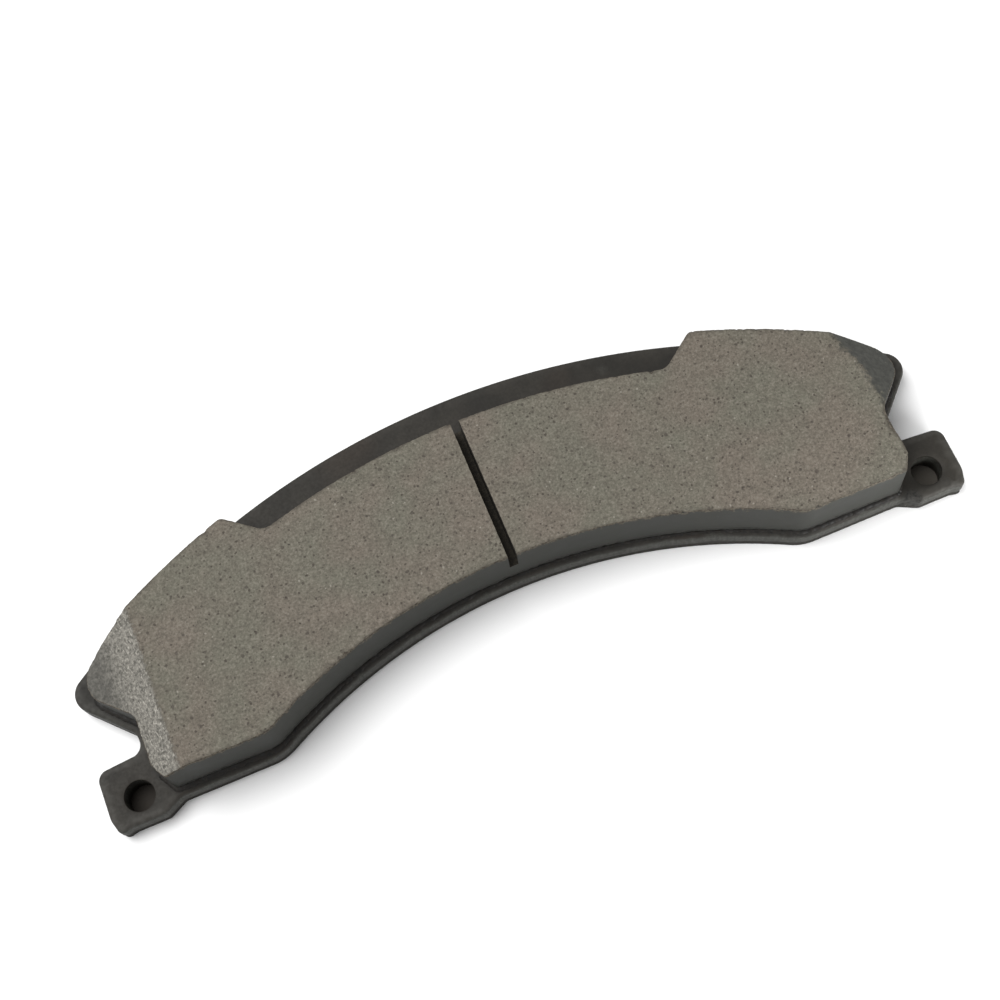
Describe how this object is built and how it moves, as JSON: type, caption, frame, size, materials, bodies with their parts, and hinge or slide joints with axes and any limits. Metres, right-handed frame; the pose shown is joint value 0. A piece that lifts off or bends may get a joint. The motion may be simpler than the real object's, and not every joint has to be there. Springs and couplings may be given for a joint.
{
  "type": "brake pad",
  "caption": "Disc brake pad: steel backing plate with two eared ends and hooked notches, bonded friction lining with a cross slot and ground end chamfers",
  "frame": {"origin": "midway between the two ear holes, on the back face of the backing plate", "axes": "+X along the line of the ear holes, +Y away from the wheel's axle, +Z from the back face towards the brake disc"},
  "size_m": [0.238, 0.0778, 0.023],
  "materials": {
    "plate_steel": "satin dark coating on blanked steel",
    "adhesive": "cured dark brown adhesive",
    "underlayer": "moulded dark grey resin layer",
    "lining": "ground resin-bonded friction compound, matte and speckled"
  },
  "bodies": {
    "root": {"backing_plate": "plate_steel", "adhesive_film": "adhesive", "underlayer": "underlayer", "friction_lining": "lining"}
  },
  "joints": []
}
